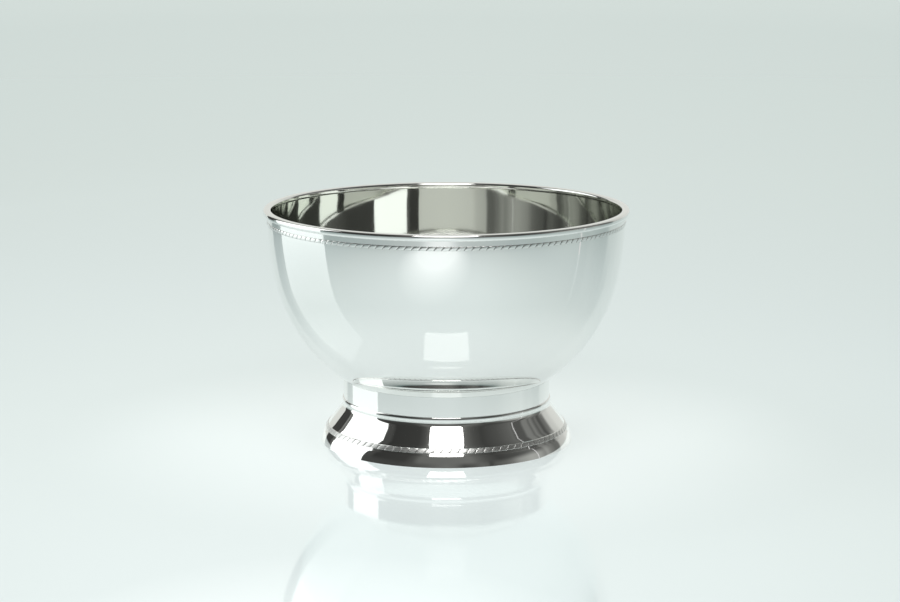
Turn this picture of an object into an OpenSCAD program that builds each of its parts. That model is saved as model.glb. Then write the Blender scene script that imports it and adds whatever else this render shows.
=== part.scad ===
// Footed punch bowl in polished sheet metal: a deep open bowl that stands in a
// short drum collar on a flared foot, and is bolted to the foot from below.
// Origin: centre of the foot's lower edge.  +Z up.  Millimetres.

/* [Bowl] */
// Outside diameter across the rim bead
rim_d = 365; // [300:1:440]
// Height from the table to the top of the rim
total_h = 236; // [195:1:290]
// Thickness of the bowl's wall
bowl_wall = 1.2; // [0.8:0.1:2]
// Radius of the flat in the bottom of the bowl
bowl_flat_r = 57; // [47:1:69]
// Radius of the gentle curve in the upper side wall, seen in section
side_curve_r = 330; // [275:1:400]
// How far the side wall leans out just under the rim, in degrees
side_draft = 2; // [1:0.5:4]
// How far the side wall leans out where the belly starts, in degrees
belly_start = 11; // [8:0.5:16]

/* [Rim] */
// Width of the rim bead, measured across the wall
rim_bead_w = 8; // [6:0.1:10]
// Height of the rim bead
rim_bead_h = 6.2; // [5:0.1:8]
// How far the bead stands out from the wall
rim_bead_out = 4.3; // [3.6:0.1:5]
// How deep the wall's edge enters the groove in the bead
rim_groove_d = 2.4; // [1.5:0.1:3]
// Corner radius of the bead's section
rim_bead_round = 2.4; // [1.5:0.1:2.4]
// Height of the plain band between the bead and the rope pattern
rim_band_h = 4.8; // [3:0.1:8]
// Height of the rope pattern under the rim
rim_rope_h = 4.3; // [3:0.1:7]
// Number of turns in the rope pattern under the rim
rim_rope_n = 160; // [60:2:180]

/* [Borders] */
// Thickness of the border strips
border_t = 0.7; // [0.6:0.1:1.2]
// How far the rope's turns stand out from their strip
rope_out = 0.5; // [0.3:0.1:0.8]
// Gap between two turns of a rope
rope_gap = 1; // [0.8:0.1:2]
// Plain edge left above and below the rope's turns
rope_edge = 0.4; // [0.2:0.1:1]
// Lean of the rope's turns, in degrees
rope_lean = 35; // [20:1:45]

/* [Collar] */
// Outside diameter of the drum collar under the bowl
collar_d = 208; // [170:1:230]
// Thickness of the collar's wall
collar_wall = 1.2; // [0.8:0.1:2]
// Height of the bead at the collar's lower edge
collar_bead_h = 5.5; // [3:0.1:8]
// How far that bead stands out from the collar
collar_bead_out = 1.3; // [0.8:0.1:2.5]

/* [Foot] */
// Diameter of the foot where it meets the table
foot_d = 254; // [236:1:305]
// Height of the foot's shoulder above the table
foot_h = 39; // [32:0.1:48]
// Thickness of the foot's sheet
foot_wall = 1.2; // [0.8:0.1:2]
// Radius of the small hollow curve between the foot's cone and its top
neck_curve_r = 6.6; // [4:0.1:9]
// Height of the foot's rounded skirt
skirt_h = 10.3; // [8:0.1:13]
// Radius of the skirt's bulge, seen in section
skirt_curve_r = 34.3; // [27:0.1:42]
// How far the skirt leans in where it meets the table, in degrees
skirt_lean = 10; // [5:1:15]
// Height of the band that carries the foot's rope pattern
foot_band_h = 6.9; // [5.6:0.1:8.3]
// How much the band narrows from its lower edge to its upper edge
foot_band_in = 4.3; // [3:0.1:6]
// Height of the foot's rope pattern, measured up the band
foot_rope_h = 5.6; // [4:0.1:6]
// Number of turns in the foot's rope pattern
foot_rope_n = 92; // [40:2:110]
// Width of the flat ring that the foot stands on
foot_ring_w = 4; // [3:0.1:8]
// Height of the flat ring that the foot stands on
foot_ring_h = 3; // [2:0.1:5]

/* [Fastening] */
// Diameter of the threaded stud
stud_d = 8; // [6:1:10]
// Length of the stud below the stud plate
stud_l = 18; // [17:0.5:24]
// Diameter of the stud plate under the bowl
stud_plate_d = 80; // [60:1:100]
// Thickness of the stud plate
stud_plate_t = 2.6; // [1.5:0.1:4]
// Diameter of the backing disc inside the foot
backing_d = 64; // [50:1:80]
// Thickness of the backing disc
backing_t = 2.5; // [1.5:0.1:4]
// Outside diameter of the flat washer
washer_d = 16; // [14:0.5:24]
// Thickness of the flat washer
washer_t = 1.6; // [1:0.1:2.5]
// Outside diameter of the split lock washer
lock_washer_d = 14; // [12:0.5:20]
// Thickness of the split lock washer
lock_washer_t = 2; // [1.2:0.1:3]
// Width of the slit in the lock washer
lock_washer_slit = 1.2; // [0.8:0.1:2]
// Width of the nut across its flats
nut_flats = 13; // [12:0.5:17]
// Height of the nut
nut_h = 6.5; // [4:0.1:8]

/* [Clearances] */
// Room on each side of the wall's edge in the bead's groove
edge_slip = 0.05; // [0.02:0.01:0.1]
// Gap between the collar's upper edge and the bowl
collar_seat_gap = 0.05; // [0.02:0.01:0.1]
// Gap between the flat ring and the foot's skirt
foot_ring_gap = 0.05; // [0.02:0.01:0.1]
// Room round the stud in the holes it passes through
stud_clear = 0.5; // [0.3:0.1:1]
// Room round the stud inside the nut, where the threads would be
thread_clear = 0.05; // [0.02:0.01:0.1]

/* [Hidden] */
$fn = 360;
steps = 14;      // straight pieces that stand for one curve in a section
corner_steps = 6;  // straight pieces that stand for a small corner or fillet
side_skip = 1;   // degrees of the side curve left out beside the belly's last point
overrun = 1;     // how far a cutting shape runs past what it cuts
slit_lean = 20;  // lean of the lock washer's slit, in degrees

// Points along an arc: centre c, radius r, from angle a to angle b in degrees
function arc(c, r, a, b, n = steps) =
    [for (i = [0:n]) let (t = a + (b - a) * i / n) c + r * [cos(t), sin(t)]];

function reversed(p) = [for (i = [len(p) - 1:-1:0]) p[i]];

// Bowl section: an upright land for the border, a long side curve and a belly curve.
// The belly's radius follows from its tangent at the top and the flat at its bottom.
rim_r = rim_d / 2;
wall_r = rim_r - rim_bead_out;
bead_bottom = total_h - rim_bead_h;
wall_top = bead_bottom + rim_groove_d;
border_bottom = bead_bottom - rim_band_h - rim_rope_h;
side_c = [wall_r, border_bottom] - side_curve_r * [cos(side_draft), -sin(side_draft)];
belly_dir = [cos(belly_start), -sin(belly_start)];
belly_top = side_c + side_curve_r * belly_dir;
bowl_bottom = foot_h + stud_plate_t;
chord = [bowl_flat_r, bowl_bottom] - belly_top;
belly_r = -(chord * chord) / (2 * chord * belly_dir);
belly_c = belly_top - belly_r * belly_dir;

// Radius of the belly's face at height z, and height of the face at radius r;
// t is how far that face lies inside the bowl's outer face
function belly_radius(z, t = 0) = belly_c[0] + sqrt(pow(belly_r - t, 2) - pow(belly_c[1] - z, 2));
function belly_height(r, t = 0) = belly_c[1] - sqrt(pow(belly_r - t, 2) - pow(r - belly_c[0], 2));

// One face of the bowl, from its centre up to its edge
function bowl_face(t) =
    let (flat_z = bowl_bottom + t,
         low = atan2(flat_z - belly_c[1], belly_radius(flat_z, t) - belly_c[0]))
    concat([[0, flat_z]],
           arc(belly_c, belly_r - t, low, -belly_start, 2 * steps),
           arc(side_c, side_curve_r - t, -belly_start + side_skip, -side_draft),
           [[wall_r - t, wall_top]]);

// Foot section, from the table up: skirt, band for the rope, cone and neck
foot_r = foot_d / 2;
collar_r = collar_d / 2;
skirt_c = [foot_r - skirt_curve_r * cos(skirt_lean), -skirt_curve_r * sin(skirt_lean)];
skirt_top = asin(sin(skirt_lean) + skirt_h / skirt_curve_r);
band_low = [skirt_c[0] + skirt_curve_r * cos(skirt_top), skirt_h];
band_high = band_low + [-foot_band_in, foot_band_h];
band_lean = atan2(foot_band_in, foot_band_h);
band_out = [cos(band_lean), sin(band_lean)];
neck_c = [collar_r + neck_curve_r, foot_h];
to_neck = neck_c - band_high;
cone_dir = atan2(to_neck[1], to_neck[0]) + asin(neck_curve_r / norm(to_neck));
cone_out = [cos(cone_dir - 90), sin(cone_dir - 90)];
neck_angle = cone_dir + 90;     // where the cone runs into the neck's curve

// Radius of the skirt's face at height z, t behind the outer face
function skirt_radius(z, t) = skirt_c[0] + sqrt(pow(skirt_curve_r - t, 2) - pow(z - skirt_c[1], 2));

// One face of the foot, from the table up to t below its top, t behind the outer face
function foot_face(t) =
    concat(arc(skirt_c, skirt_curve_r - t, asin(-skirt_c[1] / (skirt_curve_r - t)), skirt_top),
           [band_high - t * cone_out],
           arc(neck_c, neck_curve_r + t, neck_angle, 180 + asin(t / (neck_curve_r + t)), corner_steps));

// A ring of n slanted turns for a rope pattern.  Each is a flat parallelogram,
// laid on a surface of radius r at height z that leans in by lean degrees.
module rope_turns(n, r, z, h, lean) {
    w = 2 * PI * r / n - rope_gap;
    slant = h * tan(rope_lean);
    for (i = [0:n - 1])
        rotate([0, 0, i * 360 / n])
            translate([r, 0, z])
                rotate([90, 0, 90])
                    rotate([-lean, 0, 0])
                        translate([-slant / 2, -h / 2, -border_t / 2])
                            linear_extrude(border_t / 2 + rope_out)
                                polygon([[-w / 2, 0], [w / 2, 0], [w / 2 + slant, h], [slant - w / 2, h]]);
}

module ring_of(section) {
    rotate_extrude() polygon(section);
}

module washer_shape(outer, hole, z_top, t) {
    translate([0, 0, z_top - t])
        difference() {
            cylinder(d = outer, h = t);
            translate([0, 0, -overrun]) cylinder(d = hole, h = t + 2 * overrun);
        }
}

// Spun bowl with a flat bottom
module bowl_shell() {
    color("gainsboro") ring_of(concat(bowl_face(0), reversed(bowl_face(bowl_wall))));
}

// Heavy bead that caps the wall's edge, with a groove for it underneath
module rim_bead() {
    outer = rim_r;
    inner = rim_r - rim_bead_w;
    round_r = rim_bead_round;
    groove_in = wall_r - bowl_wall - edge_slip;
    groove_out = wall_r + edge_slip;
    color("whitesmoke")
        ring_of(concat(
            [[groove_out, bead_bottom], [groove_out, wall_top], [groove_in, wall_top],
             [groove_in, bead_bottom]],
            arc([inner + round_r, bead_bottom + round_r], round_r, 270, 180, corner_steps),
            arc([inner + round_r, total_h - round_r], round_r, 180, 90, corner_steps),
            arc([outer - round_r, total_h - round_r], round_r, 90, 0, corner_steps),
            arc([outer - round_r, bead_bottom + round_r], round_r, 0, -90, corner_steps)));
}

// Strip soldered to the wall under the bead: a plain band over a rope pattern
module rim_rope_border() {
    strip_r = wall_r + border_t;
    rope_h = rim_rope_h - 2 * rope_edge;
    color("silver")
        union() {
            ring_of([[wall_r, border_bottom], [strip_r, border_bottom],
                     [strip_r, bead_bottom], [wall_r, bead_bottom]]);
            rope_turns(rim_rope_n, strip_r, border_bottom + rim_rope_h / 2, rope_h, 0);
        }
}

// Drum collar; its upper edge is cut to the slope of the belly that rests on it
module collar() {
    inner = collar_r - collar_wall;
    color("lightgray")
        ring_of([[inner, foot_h], [collar_r, foot_h],
                 [collar_r, belly_height(collar_r) - collar_seat_gap],
                 [inner, belly_height(inner) - collar_seat_gap]]);
}

// Flat rounded bead soldered round the collar's lower edge
module collar_bead() {
    half = collar_bead_h / 2;
    color("whitesmoke")
        ring_of([for (p = arc([0, 0], half, -90, 90))
                 [collar_r + p[0] * collar_bead_out / half, foot_h + half + p[1]]]);
}

// Spun foot: a flat top with a hole for the stud, and a flared skirt
module foot_shell() {
    hole_r = stud_d / 2 + stud_clear;
    underside = foot_h - foot_wall;
    color("silver")
        ring_of(concat([[hole_r, foot_h], [hole_r, underside]],
                       reversed(foot_face(foot_wall)), foot_face(0)));
}

// Strip soldered to the foot's band: a rope pattern over a plain edge
module foot_rope_border() {
    rope_mid = band_high + foot_rope_h / 2 * [sin(band_lean), -cos(band_lean)] + border_t * band_out;
    color("gray")
        union() {
            ring_of([band_low, band_low + border_t * band_out,
                     band_high + border_t * band_out, band_high]);
            rope_turns(foot_rope_n, rope_mid[0], rope_mid[1], foot_rope_h - 2 * rope_edge, band_lean);
        }
}

// Flat ring soldered inside the skirt's lower edge, level with it
module foot_ring() {
    outer = skirt_radius(foot_ring_h, foot_wall) - foot_ring_gap;
    color("lightgray")
        ring_of([[outer - foot_ring_w, 0], [outer, 0],
                 [outer, foot_ring_h], [outer - foot_ring_w, foot_ring_h]]);
}

// Disc brazed under the bowl's flat, which carries the stud
module stud_plate() {
    color("darkgray") translate([0, 0, foot_h]) cylinder(d = stud_plate_d, h = stud_plate_t);
}

// Stud welded under the disc; its threads are left plain
module threaded_stud() {
    color("darkgray") translate([0, 0, foot_h - stud_l]) cylinder(d = stud_d, h = stud_l);
}

// Stack on the stud, from the foot's flat top down
backing_top = foot_h - foot_wall;
washer_top = backing_top - backing_t;
lock_washer_top = washer_top - washer_t;
nut_top = lock_washer_top - lock_washer_t;

// Stiff disc that spreads the nut's pull over the foot's flat top
module backing_disc() {
    color("gray") washer_shape(backing_d, stud_d + 2 * stud_clear, backing_top, backing_t);
}

module flat_washer() {
    color("silver") washer_shape(washer_d, stud_d + 2 * stud_clear, washer_top, washer_t);
}

// Split washer, with a slanted slit through one side
module lock_washer() {
    color("dimgray")
        difference() {
            washer_shape(lock_washer_d, stud_d + 2 * stud_clear, lock_washer_top, lock_washer_t);
            translate([lock_washer_d / 2, 0, lock_washer_top - lock_washer_t / 2])
                rotate([slit_lean, 0, 0])
                    cube([lock_washer_d, lock_washer_slit, 3 * lock_washer_t], center = true);
        }
}

// Six-sided nut; its threads are left plain
module hex_nut() {
    color("silver")
        translate([0, 0, nut_top - nut_h])
            difference() {
                cylinder(d = nut_flats / cos(30), h = nut_h, $fn = 6);
                translate([0, 0, -overrun])
                    cylinder(d = stud_d + 2 * thread_clear, h = nut_h + 2 * overrun);
            }
}

bowl_shell();
rim_bead();
rim_rope_border();
collar();
collar_bead();
foot_shell();
foot_rope_border();
foot_ring();
stud_plate();
threaded_stud();
backing_disc();
flat_washer();
lock_washer();
hex_nut();
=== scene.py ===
import math
import bmesh
import bpy
from mathutils import Matrix, Vector


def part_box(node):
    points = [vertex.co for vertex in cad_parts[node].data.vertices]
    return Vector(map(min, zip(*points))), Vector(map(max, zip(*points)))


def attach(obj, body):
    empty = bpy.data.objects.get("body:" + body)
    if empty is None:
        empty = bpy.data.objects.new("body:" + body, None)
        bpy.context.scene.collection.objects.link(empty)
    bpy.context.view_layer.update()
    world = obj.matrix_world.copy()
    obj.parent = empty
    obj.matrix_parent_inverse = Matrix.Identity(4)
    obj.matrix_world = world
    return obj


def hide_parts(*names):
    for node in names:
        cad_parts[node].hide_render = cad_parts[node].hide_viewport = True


# A footed punch bowl in polished metal, looked at on a glossy pale table under studio light.
# Lengths are metres; sizes in the dictionaries are millimetres times mm.

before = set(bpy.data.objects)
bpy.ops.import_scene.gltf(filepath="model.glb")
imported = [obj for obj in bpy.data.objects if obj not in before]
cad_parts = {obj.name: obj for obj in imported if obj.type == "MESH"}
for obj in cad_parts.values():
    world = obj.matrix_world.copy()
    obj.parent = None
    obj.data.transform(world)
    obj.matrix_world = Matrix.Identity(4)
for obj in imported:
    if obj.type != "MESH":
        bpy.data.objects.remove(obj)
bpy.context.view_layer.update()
scene = bpy.context.scene
mm = 0.001
turnSteps = 320    # straight pieces in one full turn of the spun parts
print("frame loaded:", len(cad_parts), "nodes")


# drawing a section in the XZ plane and turning it round the bowl's axis

def startAt(mesh, r, z):
    return mesh.verts.new((r, 0, z))


def lineTo(mesh, end, r, z, cuts=0):
    step = (Vector((r, 0, z)) - end.co) / (cuts + 1)
    for cut in range(cuts + 1):
        end = bmesh.ops.extrude_vert_indiv(mesh, verts=[end])["verts"][0]
        bmesh.ops.translate(mesh, verts=[end], vec=step)
    return end


def arcTo(mesh, end, centreR, centreZ, degrees, steps):    # degrees above 0 turn anticlockwise
    made = bmesh.ops.spin(mesh, geom=[end], cent=(centreR, 0, centreZ), axis=(0, -1, 0),
                          angle=math.radians(degrees), steps=steps)
    return next(g for g in made["geom_last"] if isinstance(g, bmesh.types.BMVert))


def turnRound(mesh, steps=turnSteps):
    bmesh.ops.remove_doubles(mesh, verts=mesh.verts[:], dist=1e-6)
    bmesh.ops.spin(mesh, geom=mesh.verts[:] + mesh.edges[:], cent=(0, 0, 0), axis=(0, 0, 1),
                   angle=2 * math.pi, steps=steps, use_merge=True)
    bmesh.ops.remove_doubles(mesh, verts=mesh.verts[:], dist=1e-6)
    bmesh.ops.recalc_face_normals(mesh, faces=mesh.faces[:])


def finishPiece(name, mesh, materials, node, sharpAngle=30):
    data = bpy.data.meshes.new(name)
    mesh.to_mesh(data)
    mesh.free()
    for material in materials:
        data.materials.append(material)
    data.polygons.foreach_set("use_smooth", [True] * len(data.polygons))
    data.set_sharp_from_angle(angle=math.radians(sharpAngle))
    piece = bpy.data.objects.new(name, data)
    scene.collection.objects.link(piece)
    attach(piece, "root")
    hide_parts(node)


# materials

def addNode(tree, kind, **values):
    node = tree.nodes.new(kind)
    for key, value in values.items():
        if hasattr(node, key):
            setattr(node, key, value)
        else:
            node.inputs[key.replace("_", " ")].default_value = value
    return node


def polishedMetal(name, look):
    material = bpy.data.materials.new(name)
    material.use_nodes = True
    tree = material.node_tree
    shader = tree.nodes["Principled BSDF"]
    shader.inputs["Metallic"].default_value = 1.0
    coords = addNode(tree, "ShaderNodeTexCoord")
    # distance from the axis and height, for marks that run round the piece
    split = addNode(tree, "ShaderNodeSeparateXYZ")
    tree.links.new(coords.outputs["Object"], split.inputs[0])
    flat = addNode(tree, "ShaderNodeCombineXYZ")
    tree.links.new(split.outputs["X"], flat.inputs["X"])
    tree.links.new(split.outputs["Y"], flat.inputs["Y"])
    radius = addNode(tree, "ShaderNodeVectorMath", operation="LENGTH")
    tree.links.new(flat.outputs[0], radius.inputs[0])
    section = addNode(tree, "ShaderNodeCombineXYZ")
    tree.links.new(radius.outputs["Value"], section.inputs["X"])
    tree.links.new(split.outputs["Z"], section.inputs["Z"])
    # slow changes of tone and shine over the surface
    cloud = addNode(tree, "ShaderNodeTexNoise", Scale=look["cloudScale"], Detail=3.0)
    tree.links.new(coords.outputs["Object"], cloud.inputs["Vector"])
    tone = addNode(tree, "ShaderNodeMix", data_type="RGBA")
    tone.inputs["A"].default_value = (*look["lowTone"], 1)
    tone.inputs["B"].default_value = (*look["highTone"], 1)
    tree.links.new(cloud.outputs["Fac"], tone.inputs["Factor"])
    tree.links.new(tone.outputs["Result"], shader.inputs["Base Color"])
    smear = addNode(tree, "ShaderNodeTexNoise", Scale=look["smearScale"], Detail=5.0, Distortion=0.6)
    tree.links.new(coords.outputs["Object"], smear.inputs["Vector"])
    shine = addNode(tree, "ShaderNodeMapRange")
    shine.inputs["From Min"].default_value = 0.35
    shine.inputs["From Max"].default_value = 0.75
    shine.inputs["To Min"].default_value = look["roughLow"]
    shine.inputs["To Max"].default_value = look["roughHigh"]
    tree.links.new(smear.outputs["Fac"], shine.inputs["Value"])
    tree.links.new(shine.outputs["Result"], shader.inputs["Roughness"])
    # marks left by spinning and buffing, then the faint unevenness of the sheet
    turned = addNode(tree, "ShaderNodeTexNoise", Scale=look["turnScale"], Detail=2.0)
    tree.links.new(section.outputs[0], turned.inputs["Vector"])
    turnedBump = addNode(tree, "ShaderNodeBump", Strength=look["turnStrength"], Distance=0.0001)
    tree.links.new(turned.outputs["Fac"], turnedBump.inputs["Height"])
    sheet = addNode(tree, "ShaderNodeTexNoise", Scale=look["sheetScale"], Detail=1.0)
    tree.links.new(coords.outputs["Object"], sheet.inputs["Vector"])
    sheetBump = addNode(tree, "ShaderNodeBump", Strength=look["sheetStrength"], Distance=0.001)
    tree.links.new(sheet.outputs["Fac"], sheetBump.inputs["Height"])
    tree.links.new(turnedBump.outputs["Normal"], sheetBump.inputs["Normal"])
    tree.links.new(sheetBump.outputs["Normal"], shader.inputs["Normal"])
    return material


bowlPolish = polishedMetal("bowlPolish", {
    "lowTone": (0.90, 0.90, 0.885), "highTone": (0.95, 0.95, 0.935), "cloudScale": 6.0,
    "roughLow": 0.025, "roughHigh": 0.06, "smearScale": 14.0,
    "turnScale": 900.0, "turnStrength": 0.02, "sheetScale": 9.0, "sheetStrength": 0.04})
# painted shade: the inside's tone is darker and greener than the outside's, standing in for the shade in
# the bowl's hollow; its polish is also a little rougher
bowlInsidePaintedShade = polishedMetal("bowlInsidePaintedShade", {
    "lowTone": (0.79, 0.805, 0.77), "highTone": (0.83, 0.845, 0.81), "cloudScale": 6.0,
    "roughLow": 0.03, "roughHigh": 0.06, "smearScale": 14.0,
    "turnScale": 900.0, "turnStrength": 0.02, "sheetScale": 9.0, "sheetStrength": 0.03})
trimPolish = polishedMetal("trimPolish", {
    "lowTone": (0.88, 0.88, 0.865), "highTone": (0.94, 0.94, 0.925), "cloudScale": 40.0,
    "roughLow": 0.04, "roughHigh": 0.09, "smearScale": 60.0,
    "turnScale": 1400.0, "turnStrength": 0.03, "sheetScale": 30.0, "sheetStrength": 0.02})
ropePolish = polishedMetal("ropePolish", {
    "lowTone": (0.88, 0.88, 0.865), "highTone": (0.94, 0.94, 0.925), "cloudScale": 120.0,
    "roughLow": 0.16, "roughHigh": 0.26, "smearScale": 200.0,
    "turnScale": 1400.0, "turnStrength": 0.02, "sheetScale": 60.0, "sheetStrength": 0.02})
wornRope = polishedMetal("wornRope", {
    "lowTone": (0.88, 0.88, 0.865), "highTone": (0.94, 0.94, 0.925), "cloudScale": 120.0,
    "roughLow": 0.29, "roughHigh": 0.37, "smearScale": 200.0,
    "turnScale": 1400.0, "turnStrength": 0.02, "sheetScale": 60.0, "sheetStrength": 0.02})
# painted shade: a dark copy of the polish for the strip's ground between the rope turns, where shade falls
# in the gaps
paintedGapShade = polishedMetal("paintedGapShade", {
    "lowTone": (0.24, 0.24, 0.23), "highTone": (0.40, 0.40, 0.39), "cloudScale": 120.0,
    "roughLow": 0.15, "roughHigh": 0.3, "smearScale": 200.0,
    "turnScale": 1400.0, "turnStrength": 0.05, "sheetScale": 90.0, "sheetStrength": 0.05})
plainSteel = polishedMetal("plainSteel", {
    "lowTone": (0.42, 0.41, 0.39), "highTone": (0.60, 0.59, 0.57), "cloudScale": 60.0,
    "roughLow": 0.28, "roughHigh": 0.5, "smearScale": 90.0,
    "turnScale": 2200.0, "turnStrength": 0.25, "sheetScale": 60.0, "sheetStrength": 0.05})
zincPlate = polishedMetal("zincPlate", {
    "lowTone": (0.62, 0.64, 0.66), "highTone": (0.80, 0.81, 0.80), "cloudScale": 500.0,
    "roughLow": 0.2, "roughHigh": 0.42, "smearScale": 700.0,
    "turnScale": 2500.0, "turnStrength": 0.05, "sheetScale": 400.0, "sheetStrength": 0.05})
print("materials made")


# the bowl: flat bottom, belly curve, gentle side curve and an upright land for the border

bowlLow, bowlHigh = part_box("bowl_shell")
borderLow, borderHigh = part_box("rim_rope_border")
bowlSize = {"wall": 1.2 * mm, "flatR": 57 * mm, "sideR": 330 * mm, "sideDraft": 2.0, "bellyStart": 11.0,
            "bottomRound": 22 * mm}


def outward(degreesDown):    # a unit step out from the axis and this far down
    return Vector((math.cos(math.radians(degreesDown)), -math.sin(math.radians(degreesDown))))


# the side curve starts under the border; the belly leaves it smoothly and runs to the flat's edge
sideX, sideZ = Vector((bowlHigh.x, borderLow.z)) - bowlSize["sideR"] * outward(bowlSize["sideDraft"])
bellyOut = outward(bowlSize["bellyStart"])
bellyTop = Vector((sideX, sideZ)) + bowlSize["sideR"] * bellyOut
toFlat = Vector((bowlSize["flatR"], bowlLow.z)) - bellyTop
bellyR = -toFlat.length_squared / (2 * toFlat.dot(bellyOut))
bellyX, bellyZ = bellyTop - bellyR * bellyOut


def bowlFace(mesh, end, inside, upwards):
    shift = bowlSize["wall"] if inside else 0
    flatZ = bowlLow.z + shift
    roundR = bowlSize["bottomRound"] - shift
    roundZ = flatZ + roundR
    roundX = bellyX + math.sqrt((bellyR - bowlSize["bottomRound"]) ** 2 - (roundZ - bellyZ) ** 2)
    join = math.degrees(math.atan2(roundZ - bellyZ, roundX - bellyX))
    roundTurn, bellyTurn = join + 90, -bowlSize["bellyStart"] - join
    sideTurn = bowlSize["bellyStart"] - bowlSize["sideDraft"]
    if upwards:
        end = lineTo(mesh, end, roundX, flatZ, 5)
        end = arcTo(mesh, end, roundX, roundZ, roundTurn, 8)
        end = arcTo(mesh, end, bellyX, bellyZ, bellyTurn, 60)
        end = arcTo(mesh, end, sideX, sideZ, sideTurn, 14)
        return lineTo(mesh, end, bowlHigh.x - shift, bowlHigh.z, 2)
    landR, landZ = Vector((sideX, sideZ)) + (bowlSize["sideR"] - shift) * outward(bowlSize["sideDraft"])
    end = lineTo(mesh, end, landR, landZ, 2)
    end = arcTo(mesh, end, sideX, sideZ, -sideTurn, 14)
    end = arcTo(mesh, end, bellyX, bellyZ, -bellyTurn, 60)
    end = arcTo(mesh, end, roundX, roundZ, -roundTurn, 8)
    return lineTo(mesh, end, 0, flatZ, 5)


mesh = bmesh.new()
edge = bowlFace(mesh, startAt(mesh, 0, bowlLow.z), False, True)
edge = lineTo(mesh, edge, bowlHigh.x - bowlSize["wall"], bowlHigh.z)
bowlFace(mesh, edge, True, False)
turnRound(mesh)
for face in mesh.faces:    # the inside has a slightly duller polish and a darker, greener tone, painted shade for the bowl's hollow
    middle = face.calc_center_median()
    if face.normal.z > 0.001 or face.normal.x * middle.x + face.normal.y * middle.y < 0:
        face.material_index = 1
finishPiece("spunBowl", mesh, [bowlPolish, bowlInsidePaintedShade], "bowl_shell")
print("bowl made")


# the heavy rim bead, grooved below for the bowl's edge

beadLow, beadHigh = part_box("rim_bead")
beadSize = {"width": 8 * mm, "round": 2.4 * mm, "slip": 0.05 * mm}
mesh = bmesh.new()
outer, inner = beadHigh.x, beadHigh.x - beadSize["width"]
low, high, curve = beadLow.z, beadHigh.z, beadSize["round"]
grooveOut = bowlHigh.x + beadSize["slip"]
grooveIn = bowlHigh.x - bowlSize["wall"] - beadSize["slip"]
end = startAt(mesh, grooveOut, low)
end = lineTo(mesh, end, grooveOut, bowlHigh.z)
end = lineTo(mesh, end, grooveIn, bowlHigh.z)
end = lineTo(mesh, end, grooveIn, low)
end = lineTo(mesh, end, inner + curve, low)
end = arcTo(mesh, end, inner + curve, low + curve, -90, 10)
end = lineTo(mesh, end, inner, high - curve, 1)
end = arcTo(mesh, end, inner + curve, high - curve, -90, 12)
end = lineTo(mesh, end, outer - curve, high, 3)
end = arcTo(mesh, end, outer - curve, high - curve, -90, 12)
end = lineTo(mesh, end, outer, low + curve, 1)
end = arcTo(mesh, end, outer - curve, low + curve, -90, 10)
lineTo(mesh, end, grooveOut, low)
turnRound(mesh)
finishPiece("rimBead", mesh, [trimPolish], "rim_bead")
print("rim bead made")


# rope borders: a strip with slanted, pillowed turns standing out from it; the strip's ground between the
# turns is painted dark as shade

# pillow: how far in from the last ring each ring of a turn's face lies, and its share of the rise
ropeSize = {"strip": 0.5 * mm, "out": 0.3 * mm, "edge": 0.4 * mm, "lean": 35, "step": 0.04 * mm,
            "pillow": ((0.15 * mm, 0.5), (0.3 * mm, 0.28), (0.5 * mm, 0.16), (0.5 * mm, 0.06))}


def addRope(mesh, count, gap, r, z, high, lean):
    wide = 2 * math.pi * r / count - gap
    deep = ropeSize["step"] + ropeSize["strip"] / 2
    made = bmesh.ops.create_cube(mesh, size=1)["verts"]
    bmesh.ops.scale(mesh, verts=made, vec=(wide, deep, high))
    bmesh.ops.translate(mesh, verts=made, vec=(0, deep / 2 - ropeSize["step"], 0))
    slant = Matrix.Identity(4)
    slant[0][2] = math.tan(math.radians(ropeSize["lean"]))
    bmesh.ops.transform(mesh, matrix=slant, verts=made)
    face = min(mesh.faces, key=lambda f: f.calc_center_median().y)
    rise = ropeSize["out"] - ropeSize["step"]
    for thick, share in ropeSize["pillow"]:
        bmesh.ops.inset_region(mesh, faces=[face], thickness=thick, depth=rise * share,
                               use_even_offset=True)
    upright = Matrix.Rotation(-lean, 4, "Y") @ Matrix.Rotation(math.pi / 2, 4, "Z")
    place = Matrix.Translation((r, 0, z)) @ upright
    bmesh.ops.transform(mesh, matrix=place, verts=mesh.verts[:])
    for face in mesh.faces:
        face.material_index = 2
    bmesh.ops.spin(mesh, geom=mesh.verts[:] + mesh.edges[:] + mesh.faces[:], cent=(0, 0, 0),
                   axis=(0, 0, 1), angle=2 * math.pi * (count - 1) / count, steps=count - 1,
                   use_duplicate=True)
    bmesh.ops.recalc_face_normals(mesh, faces=mesh.faces[:])


def addStrip(ropeMesh, name, node, corners, paintedShadeBetween, turnLook):
    mesh = bmesh.new()
    end = startAt(mesh, *corners[0])
    for r, z in corners[1:] + corners[:1]:
        end = lineTo(mesh, end, r, z)
    turnRound(mesh)
    # the strip's faces between these heights take the second slot, the dark painted shade seen in the gaps
    # between the turns
    lowZ, highZ = paintedShadeBetween
    for face in mesh.faces:
        middle = face.calc_center_median()
        if lowZ < middle.z < highZ:
            face.material_index = 1
    rope = bpy.data.meshes.new("ropeTurns")
    ropeMesh.to_mesh(rope)
    ropeMesh.free()
    mesh.from_mesh(rope)
    bpy.data.meshes.remove(rope)
    finishPiece(name, mesh, [trimPolish, paintedGapShade, turnLook], node)


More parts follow.
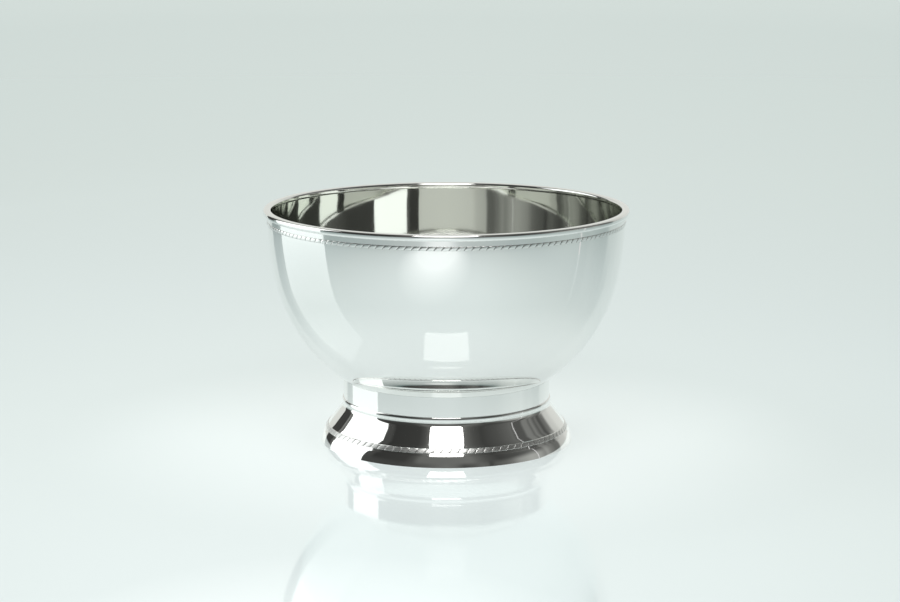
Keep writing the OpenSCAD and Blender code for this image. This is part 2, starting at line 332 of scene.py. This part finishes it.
rimRope = {"turns": 160, "gap": 0.8 * mm, "high": 4.3 * mm, "soft": 0.2 * mm}
stripR = bowlHigh.x + ropeSize["strip"]
mesh = bmesh.new()
addRope(mesh, rimRope["turns"], rimRope["gap"], stripR, borderLow.z + rimRope["high"] / 2,
        rimRope["high"] - 2 * ropeSize["edge"], 0)
soft = rimRope["soft"]
ropeTop = borderLow.z + rimRope["high"]
addStrip(mesh, "rimRope", "rim_rope_border",
         [(bowlHigh.x, borderLow.z), (stripR - soft, borderLow.z), (stripR, borderLow.z + soft),
          (stripR, borderLow.z + ropeSize["edge"]), (stripR, ropeTop - ropeSize["edge"] / 2),
          (stripR, borderHigh.z), (bowlHigh.x, borderHigh.z)],
         (borderLow.z + soft, ropeTop - ropeSize["edge"] / 2), ropePolish)
print("rim rope made")


# the foot: flat top, small neck curve, straight cone, band for the rope and rounded skirt

footLow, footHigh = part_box("foot_shell")
footSize = {"wall": 1.2 * mm, "hole": 4.5 * mm, "neckR": 6.6 * mm, "skirtHigh": 10.3 * mm,
            "skirtR": 34.3 * mm, "skirtLean": 10.0, "bandHigh": 6.9 * mm, "bandIn": 4.3 * mm,
            "ropeHigh": 5.6 * mm}
collarLow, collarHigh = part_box("collar")
wall = footSize["wall"]
under = footHigh.z - wall
skirtR = footSize["skirtR"]
skirtX = footHigh.x - skirtR * math.cos(math.radians(footSize["skirtLean"]))
skirtZ = -skirtR * math.sin(math.radians(footSize["skirtLean"]))
skirtTop = math.degrees(math.asin((footSize["skirtHigh"] - skirtZ) / skirtR))
lowR, lowZ = skirtX + skirtR * math.cos(math.radians(skirtTop)), footSize["skirtHigh"]
highR, highZ = lowR - footSize["bandIn"], lowZ + footSize["bandHigh"]
neckX = collarHigh.x + footSize["neckR"]
toNeck = (neckX - highR, footHigh.z - highZ)    # from the band's upper edge to the neck curve's centre
lean = math.atan2(toNeck[1], toNeck[0]) + math.asin(footSize["neckR"] / math.hypot(*toNeck)) - math.pi / 2
neckLean = math.degrees(lean)
mesh = bmesh.new()
end = startAt(mesh, footSize["hole"], under)
end = lineTo(mesh, end, footSize["hole"], footHigh.z)
end = lineTo(mesh, end, collarHigh.x, footHigh.z, 4)
end = arcTo(mesh, end, neckX, footHigh.z, neckLean, 10)
end = lineTo(mesh, end, highR, highZ, 4)
end = lineTo(mesh, end, lowR, lowZ, 2)
end = arcTo(mesh, end, skirtX, skirtZ, footSize["skirtLean"] - skirtTop, 16)
innerR = skirtR - wall
innerStart = math.degrees(math.asin(-skirtZ / innerR))
end = lineTo(mesh, end, skirtX + innerR * math.cos(math.radians(innerStart)), 0)
end = arcTo(mesh, end, skirtX, skirtZ, skirtTop - innerStart, 16)
end = lineTo(mesh, end, highR - wall * math.cos(lean), highZ - wall * math.sin(lean), 1)
neckInner = footSize["neckR"] + wall
end = lineTo(mesh, end, neckX - neckInner * math.cos(lean), footHigh.z - neckInner * math.sin(lean), 3)
lastLean = math.degrees(math.asin(wall / neckInner))
end = arcTo(mesh, end, neckX, footHigh.z, lastLean - neckLean, 8)
end = lineTo(mesh, end, footSize["hole"], under, 3)
turnRound(mesh)
finishPiece("spunFoot", mesh, [bowlPolish], "foot_shell")

footRope = {"turns": 92, "gap": 0.7 * mm, "strip": 0.3 * mm}
bandLean = math.atan2(footSize["bandIn"], footSize["bandHigh"])
sideR, sideZ = math.sin(bandLean), -math.cos(bandLean)    # one unit down the band's slope
outR, outZ = footRope["strip"] * math.cos(bandLean), footRope["strip"] * math.sin(bandLean)
faceR, faceZ = highR + outR, highZ + outZ                 # upper edge of the strip's face
middle = footSize["ropeHigh"] / 2
mesh = bmesh.new()
addRope(mesh, footRope["turns"], footRope["gap"], faceR + middle * sideR, faceZ + middle * sideZ,
        footSize["ropeHigh"] - 2 * ropeSize["edge"], bandLean)
turnTop, turnBottom = ropeSize["edge"], footSize["ropeHigh"] - ropeSize["edge"]
addStrip(mesh, "footRope", "foot_rope_border",
         [(lowR, lowZ), (lowR + outR, lowZ + outZ),
          (faceR + turnBottom * sideR, faceZ + turnBottom * sideZ),
          (faceR + turnTop * sideR, faceZ + turnTop * sideZ), (highR, highZ)],
         (faceZ + turnBottom * sideZ, faceZ + turnTop * sideZ), wornRope)

ringLow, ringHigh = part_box("foot_ring")
ringSize = {"width": 4 * mm, "soft": 0.4 * mm}
mesh = bmesh.new()
soft = ringSize["soft"]
outer, inner = ringHigh.x, ringHigh.x - ringSize["width"]
end = startAt(mesh, outer, ringLow.z)
end = lineTo(mesh, end, outer, ringHigh.z)
end = lineTo(mesh, end, inner + soft, ringHigh.z, 1)
end = arcTo(mesh, end, inner + soft, ringHigh.z - soft, 90, 4)
end = lineTo(mesh, end, inner, ringLow.z + soft, 1)
end = arcTo(mesh, end, inner + soft, ringLow.z + soft, 90, 4)
lineTo(mesh, end, outer, ringLow.z)
turnRound(mesh)
finishPiece("footRing", mesh, [trimPolish], "foot_ring")
print("foot made")


# the drum collar, cut to the belly's slope, and the flat rounded bead at its foot

collarSize = {"wall": 1.2 * mm, "gap": 0.05 * mm}


def bellyHeight(r):
    return bellyZ - math.sqrt(bellyR ** 2 - (r - bellyX) ** 2) - collarSize["gap"]


mesh = bmesh.new()
inner = collarHigh.x - collarSize["wall"]
end = startAt(mesh, inner, collarLow.z)
end = lineTo(mesh, end, collarHigh.x, collarLow.z)
end = lineTo(mesh, end, collarHigh.x, bellyHeight(collarHigh.x), 3)
end = lineTo(mesh, end, inner, bellyHeight(inner))
lineTo(mesh, end, inner, collarLow.z, 3)
turnRound(mesh)
finishPiece("drumCollar", mesh, [bowlPolish], "collar")

collarBeadLow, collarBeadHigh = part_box("collar_bead")
beadR = (collarBeadHigh.z - collarBeadLow.z) / 2
beadOut = collarBeadHigh.x - collarHigh.x
mesh = bmesh.new()
end = startAt(mesh, 0, -beadR)
end = arcTo(mesh, end, 0, 0, 180, 20)
lineTo(mesh, end, 0, -beadR, 1)
bmesh.ops.scale(mesh, verts=mesh.verts[:], vec=(beadOut / beadR, 1, 1))
bmesh.ops.translate(mesh, verts=mesh.verts[:], vec=(collarHigh.x, 0, collarBeadLow.z + beadR))
turnRound(mesh)
finishPiece("collarBead", mesh, [trimPolish], "collar_bead")
print("collar made")


# the fastening under the bowl: plate, stud, disc, washers and nut

def addDisc(name, node, material, low, high, outer, hole, soft, steps):
    mesh = bmesh.new()
    end = first = startAt(mesh, hole, low + (soft if hole else 0))
    if hole:
        end = arcTo(mesh, end, hole + soft, low + soft, 90, 3)
    end = lineTo(mesh, end, outer - soft, low, 2)
    end = arcTo(mesh, end, outer - soft, low + soft, 90, 3)
    end = lineTo(mesh, end, outer, high - soft)
    end = arcTo(mesh, end, outer - soft, high - soft, 90, 3)
    if hole:
        end = lineTo(mesh, end, hole + soft, high, 2)
        end = arcTo(mesh, end, hole + soft, high - soft, 90, 3)
        lineTo(mesh, end, *first.co.xz)
    else:
        lineTo(mesh, end, 0, high, 2)
    turnRound(mesh, steps)
    finishPiece(name, mesh, [material], node)


plateLow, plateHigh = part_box("stud_plate")
addDisc("studPlate", "stud_plate", plainSteel, plateLow.z, plateHigh.z, plateHigh.x,
        hole=0, soft=0.3 * mm, steps=160)
discLow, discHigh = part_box("backing_disc")
addDisc("backingDisc", "backing_disc", plainSteel, discLow.z, discHigh.z, discHigh.x,
        hole=footSize["hole"], soft=0.3 * mm, steps=128)
washerLow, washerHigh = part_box("flat_washer")
addDisc("flatWasher", "flat_washer", zincPlate, washerLow.z, washerHigh.z, washerHigh.x,
        hole=footSize["hole"], soft=0.15 * mm, steps=64)

# split lock washer: not quite a full turn, its two ends a little apart
lockLow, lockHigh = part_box("lock_washer")
lockSize = {"hole": 4.5 * mm, "slit": 1.2 * mm, "slitLean": 20, "steps": 60}
lockMiddleR, lockMiddleZ = (lockHigh.x + lockSize["hole"]) / 2, (lockHigh.z + lockLow.z) / 2
mesh = bmesh.new()
made = bmesh.ops.create_grid(mesh, x_segments=1, y_segments=1, size=0.5)["verts"]
bmesh.ops.rotate(mesh, verts=made, cent=(0, 0, 0), matrix=Matrix.Rotation(math.pi / 2, 3, "X"))
bmesh.ops.scale(mesh, verts=made, vec=(lockHigh.x - lockSize["hole"], 1, lockHigh.z - lockLow.z))
bmesh.ops.translate(mesh, verts=made, vec=(lockMiddleR, 0, lockMiddleZ))
slitAngle = lockSize["slit"] / lockMiddleR
bmesh.ops.rotate(mesh, verts=made, cent=(0, 0, 0), matrix=Matrix.Rotation(slitAngle / 2, 3, "Z"))
bmesh.ops.spin(mesh, geom=mesh.faces[:] + mesh.edges[:] + mesh.verts[:], cent=(0, 0, 0), axis=(0, 0, 1),
               angle=2 * math.pi - slitAngle, steps=lockSize["steps"])
for v in mesh.verts:    # the slit's two sides lean
    if v.co.x > 0 and abs(v.co.y) < lockSize["slit"]:
        v.co.y -= (v.co.z - lockMiddleZ) * math.tan(math.radians(lockSize["slitLean"]))
bmesh.ops.recalc_face_normals(mesh, faces=mesh.faces[:])
finishPiece("lockWasher", mesh, [zincPlate], "lock_washer")

# hex nut with its corners chamfered
nutLow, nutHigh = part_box("hex_nut")
nutSize = {"across": 13 * mm, "hole": 4.05 * mm, "side": 24, "chamfer": 0.58}
mesh = bmesh.new()
holeRing = bmesh.ops.create_circle(mesh, segments=nutSize["side"], radius=nutSize["hole"])["verts"]
sideRing = bmesh.ops.create_circle(mesh, segments=nutSize["side"], radius=nutSize["across"] / 2)["verts"]
for v in sideRing:    # push the ring out to six flats
    turn = math.atan2(v.co.y, v.co.x) % (math.pi / 3) - math.pi / 6
    v.co.xy *= 1 / math.cos(turn)
bmesh.ops.bridge_loops(mesh, edges=mesh.edges[:])
lifted = bmesh.ops.extrude_face_region(mesh, geom=mesh.faces[:])
bmesh.ops.translate(mesh, verts=[g for g in lifted["geom"] if isinstance(g, bmesh.types.BMVert)],
                    vec=(0, 0, nutHigh.z - nutLow.z))
for v in mesh.verts:
    over = max(0, v.co.xy.length - nutSize["across"] / 2)
    v.co.z += over * nutSize["chamfer"] * (-1 if v.co.z > 0 else 1)
bmesh.ops.translate(mesh, verts=mesh.verts[:], vec=(0, 0, nutLow.z))
bmesh.ops.recalc_face_normals(mesh, faces=mesh.faces[:])
finishPiece("hexNut", mesh, [zincPlate], "hex_nut")

# the stud: a plain core with a real thread wound on it
studLow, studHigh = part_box("threaded_stud")
studSize = {"pitch": 1.25 * mm, "depth": 0.65 * mm, "plain": 1.6 * mm, "chamfer": 0.5 * mm,
            "sink": 0.1 * mm, "threadStart": 0.6 * mm, "threadStop": 0.3 * mm, "sides": 32}
mesh = bmesh.new()
coreR = studHigh.x - studSize["depth"]
end = startAt(mesh, 0, studLow.z)
end = lineTo(mesh, end, coreR - studSize["chamfer"], studLow.z)
end = lineTo(mesh, end, coreR, studLow.z + studSize["chamfer"])
plainZ = studHigh.z - studSize["plain"]
end = lineTo(mesh, end, coreR, plainZ)
end = lineTo(mesh, end, studHigh.x, plainZ)
end = lineTo(mesh, end, studHigh.x, studHigh.z)
lineTo(mesh, end, 0, studHigh.z)
turnRound(mesh, studSize["sides"])
rootZ, rootR = studLow.z + studSize["threadStart"], coreR - studSize["sink"]
turns = (plainZ - rootZ - studSize["threadStop"]) / studSize["pitch"] - 1
# one thread's section: radius, and height as a share of the pitch
ridge = [(rootR, 0), (studHigh.x, 0.42), (studHigh.x, 0.54), (rootR, 0.96)]
wedge = mesh.faces.new([mesh.verts.new((r, 0, rootZ + studSize["pitch"] * share)) for r, share in ridge])
threadSteps = round(turns * studSize["sides"])
bmesh.ops.spin(mesh, geom=[wedge, *wedge.edges, *wedge.verts], cent=(0, 0, 0), axis=(0, 0, 1),
               dvec=(0, 0, studSize["pitch"] / studSize["sides"]),
               angle=2 * math.pi * threadSteps / studSize["sides"], steps=threadSteps)
bmesh.ops.recalc_face_normals(mesh, faces=mesh.faces[:])
finishPiece("threadedStud", mesh, [zincPlate], "threaded_stud")
print("fastening made")


# the studio: soft lights, a glossy pale table top that glows a little, and the room behind it all

def emissionCard(name, centre, width, height, aim, strength, colour):
    mesh = bmesh.new()
    bmesh.ops.create_grid(mesh, x_segments=1, y_segments=1, size=0.5)
    bmesh.ops.scale(mesh, verts=mesh.verts[:], vec=(width, height, 1))
    data = bpy.data.meshes.new(name)
    mesh.to_mesh(data)
    mesh.free()
    card = bpy.data.objects.new(name, data)
    scene.collection.objects.link(card)
    card.location = centre
    card.rotation_euler = (Vector(aim) - Vector(centre)).to_track_quat("Z", "Y").to_euler()
    material = bpy.data.materials.new(name)
    material.use_nodes = True
    tree = material.node_tree
    tree.nodes.clear()
    glow = addNode(tree, "ShaderNodeEmission", Color=(*colour, 1), Strength=strength)
    out = addNode(tree, "ShaderNodeOutputMaterial")
    tree.links.new(glow.outputs[0], out.inputs["Surface"])
    data.materials.append(material)
    card.visible_camera = False


emissionCard("frontSoftbox", (0, -0.650, 1.0475), 0.54, 0.592, (0, 0, 0.1), 5.0, (1.0, 1.0, 0.98))
emissionCard("leftSoftbox", (-1.56, 0.36, 0.95), 1.36, 1.9, (0, 0, 0.95), 1.5, (0.97, 1.0, 0.99))
emissionCard("leftFlag", (-1.126, 1.176, 1.0), 0.36, 2.0, (0, 0, 1.0), 0.05, (1.0, 1.0, 0.96))
emissionCard("rightStrip", (0.903, -0.06, 0.5), 0.012, 1.0, (0, 0, 0.5), 0.8, (1, 1, 1))

# glow: centre of the table's glow, how much it is stretched along Y, and its reach as powers of two;
# thrown: painted light, a glow close round the foot standing in for light the polished bowl throws back
# down, its level and where it starts and ends
tableSize = {"radius": 12.0, "colour": (0.453, 0.50, 0.50), "roughness": 0.05, "ior": 1.45,
             "glowCentre": (-0.1, -1.2), "glowStretch": 0.45, "glowReach": (-3.0, 2.0),
             "thrown": 0.16, "thrownReach": (0.12, 0.42)}
mesh = bmesh.new()
bmesh.ops.create_circle(mesh, cap_ends=True, segments=96, radius=tableSize["radius"])
data = bpy.data.meshes.new("tableTop")
mesh.to_mesh(data)
mesh.free()
tableTop = bpy.data.objects.new("tableTop", data)
scene.collection.objects.link(tableTop)
tableLook = bpy.data.materials.new("tableLook")
tableLook.use_nodes = True
tree = tableLook.node_tree
shader = tree.nodes["Principled BSDF"]
shader.inputs["Base Color"].default_value = (*tableSize["colour"], 1)
shader.inputs["Roughness"].default_value = tableSize["roughness"]
shader.inputs["IOR"].default_value = tableSize["ior"]
coords = addNode(tree, "ShaderNodeTexCoord")
shiftFront = addNode(tree, "ShaderNodeVectorMath", operation="ADD")
shiftFront.inputs[1].default_value = -Vector((*tableSize["glowCentre"], 0))
tree.links.new(coords.outputs["Object"], shiftFront.inputs[0])
squash = addNode(tree, "ShaderNodeVectorMath", operation="MULTIPLY")
squash.inputs[1].default_value = (1, tableSize["glowStretch"], 0)
tree.links.new(shiftFront.outputs[0], squash.inputs[0])
far = addNode(tree, "ShaderNodeVectorMath", operation="LENGTH")
tree.links.new(squash.outputs[0], far.inputs[0])
logFar = addNode(tree, "ShaderNodeMath", operation="LOGARITHM")
logFar.inputs[1].default_value = 2.0
tree.links.new(far.outputs["Value"], logFar.inputs[0])
fade = addNode(tree, "ShaderNodeMapRange")
glowStart, glowEnd = tableSize["glowReach"]
fade.inputs["From Min"].default_value = glowStart
fade.inputs["From Max"].default_value = glowEnd
tree.links.new(logFar.outputs[0], fade.inputs["Value"])
# the table's glow, painted light from just before the camera out to the far edge
tableGlow = [(0, (0.66, 0.69, 0.69)), (0.15, (0.61, 0.64, 0.64)), (0.3, (0.305, 0.34, 0.34)),
             (0.476, (0.25, 0.285, 0.28)), (0.592, (0.195, 0.235, 0.235)), (0.736, (0.13, 0.175, 0.17)),
             (0.94, (0.04, 0.09, 0.09))]
glow = addNode(tree, "ShaderNodeValToRGB")
while len(glow.color_ramp.elements) < len(tableGlow):
    glow.color_ramp.elements.new(0.5)
for element, (place, colour) in zip(glow.color_ramp.elements, tableGlow):
    element.position = place
    element.color = (*colour, 1)
tree.links.new(fade.outputs["Result"], glow.inputs["Fac"])
# painted light: extra glow close round the foot, standing in for light thrown back down by the polished
# bowl
aroundFoot = addNode(tree, "ShaderNodeVectorMath", operation="LENGTH")
tree.links.new(coords.outputs["Object"], aroundFoot.inputs[0])
thrown = addNode(tree, "ShaderNodeMapRange", interpolation_type="SMOOTHSTEP")
thrownStart, thrownEnd = tableSize["thrownReach"]
thrown.inputs["From Min"].default_value = thrownStart
thrown.inputs["From Max"].default_value = thrownEnd
thrown.inputs["To Min"].default_value = tableSize["thrown"]
thrown.inputs["To Max"].default_value = 0.0
tree.links.new(aroundFoot.outputs["Value"], thrown.inputs["Value"])
allGlow = addNode(tree, "ShaderNodeVectorMath", operation="ADD")
tree.links.new(glow.outputs["Color"], allGlow.inputs[0])
tree.links.new(thrown.outputs["Result"], allGlow.inputs[1])
tree.links.new(allGlow.outputs[0], shader.inputs["Emission Color"])
shader.inputs["Emission Strength"].default_value = 1.0
data.materials.append(tableLook)

skyLight = bpy.data.lights.new("skyLight", "SUN")
skyLight.angle = math.radians(110)
skyLight.energy = 1.5
skyLamp = bpy.data.objects.new("skyLamp", skyLight)
skyLamp.location = (0, 0, 5.0)
skyLamp.visible_glossy = False
skyLamp.visible_camera = False
scene.collection.objects.link(skyLamp)

# the room as the metal sees it: brightness by compass angle (0 toward the camera, 90 to the right),
# once for low down and once for high up; rays from the camera see one pale tone instead
roomSize = {"lowEnds": 0.18, "highStarts": 0.42, "seenByCamera": (0.64, 0.70, 0.67)}
lowRoom = [(-180, 0.76), (-150, 0.74), (-142, 0.70), (-139, 0.60), (-137, 0.11), (-130, 0.11), (-80, 0.06),
           (-45, 0.055), (-20, 0.10), (0, 0.16), (8, 0.14), (16, 0.07), (24, 0.09), (32, 0.13), (38, 0.11),
           (41, 0.055), (46, 0.10), (56, 0.13), (62, 0.17), (70, 0.30), (84, 0.40), (94, 0.36), (101, 0.25),
           (105, 0.32), (110, 0.22), (118, 0.14), (125, 0.15), (128, 0.50), (140, 0.58), (146, 0.70),
           (160, 0.74), (180, 0.76)]
highRoom = [(-180, 0.66), (-140, 0.70), (-136, 0.60), (-133, 0.3), (-130, 0.08), (-76, 0.066), (-72, 0.036),
            (-40, 0.045), (-32, 0.076), (-26, 0.14), (24, 0.16), (30, 0.12), (40, 0.076), (52, 0.05),
            (72, 0.08), (86, 0.12), (88, 0.14), (92, 0.085), (101, 0.088), (104, 0.20), (109, 0.20),
            (111, 0.12), (114, 0.21), (118, 0.10), (121, 0.16), (124, 0.07), (128, 0.12), (132, 0.08),
            (135, 0.58), (142, 0.68), (180, 0.66)]
surround = bpy.data.worlds.new("surround")
surround.use_nodes = True
scene.world = surround
tree = surround.node_tree
tree.nodes.clear()
coords = addNode(tree, "ShaderNodeTexCoord")
split = addNode(tree, "ShaderNodeSeparateXYZ")
tree.links.new(coords.outputs["Generated"], split.inputs[0])
turnBack = addNode(tree, "ShaderNodeMath", operation="MULTIPLY")
turnBack.inputs[1].default_value = -1.0
tree.links.new(split.outputs["Y"], turnBack.inputs[0])
compass = addNode(tree, "ShaderNodeMath", operation="ARCTAN2")
tree.links.new(split.outputs["X"], compass.inputs[0])
tree.links.new(turnBack.outputs[0], compass.inputs[1])
around = addNode(tree, "ShaderNodeMapRange")
around.inputs["From Min"].default_value = -math.pi
around.inputs["From Max"].default_value = math.pi
tree.links.new(compass.outputs[0], around.inputs["Value"])


def roomRamp(stops):
    ramp = addNode(tree, "ShaderNodeValToRGB")
    while len(ramp.color_ramp.elements) < len(stops):
        ramp.color_ramp.elements.new(0.5)
    for element, (angle, level) in zip(ramp.color_ramp.elements, stops):
        element.position = angle / 360 + 0.5
        element.color = (level * 0.98, level, level * 0.95, 1)
    tree.links.new(around.outputs["Result"], ramp.inputs["Fac"])
    return ramp


lift = addNode(tree, "ShaderNodeMapRange", interpolation_type="SMOOTHSTEP")
lift.inputs["From Min"].default_value = roomSize["lowEnds"]
lift.inputs["From Max"].default_value = roomSize["highStarts"]
tree.links.new(split.outputs["Z"], lift.inputs["Value"])
room = addNode(tree, "ShaderNodeMix", data_type="RGBA")
tree.links.new(roomRamp(lowRoom).outputs["Color"], room.inputs["A"])
tree.links.new(roomRamp(highRoom).outputs["Color"], room.inputs["B"])
tree.links.new(lift.outputs["Result"], room.inputs["Factor"])
seen = addNode(tree, "ShaderNodeLightPath")
pick = addNode(tree, "ShaderNodeMix", data_type="RGBA")
pick.inputs["B"].default_value = (*roomSize["seenByCamera"], 1)
tree.links.new(room.outputs["Result"], pick.inputs["A"])
tree.links.new(seen.outputs["Is Camera Ray"], pick.inputs["Factor"])
sky = addNode(tree, "ShaderNodeBackground")
tree.links.new(pick.outputs["Result"], sky.inputs["Color"])
out = addNode(tree, "ShaderNodeOutputWorld")
tree.links.new(sky.outputs[0], out.inputs["Surface"])
scene.view_settings.view_transform = "Standard"
scene.cycles.glossy_bounces = 12    # the inside of the bowl mirrors itself many times over
print("studio made")


# the camera

cameraLook = {"place": (0, -2.400, 0.5917), "pitch": 10.654, "turn": -0.086, "lens": 97.19}
cameraData = bpy.data.cameras.new("camera")
cameraData.lens = cameraLook["lens"]
cameraData.sensor_width = 36
cameraData.clip_end = 100
camera = bpy.data.objects.new("camera", cameraData)
camera.location = cameraLook["place"]
camera.rotation_euler = (math.radians(90 - cameraLook["pitch"]), 0, math.radians(cameraLook["turn"]))
scene.collection.objects.link(camera)
scene.camera = camera
bpy.context.view_layer.update()
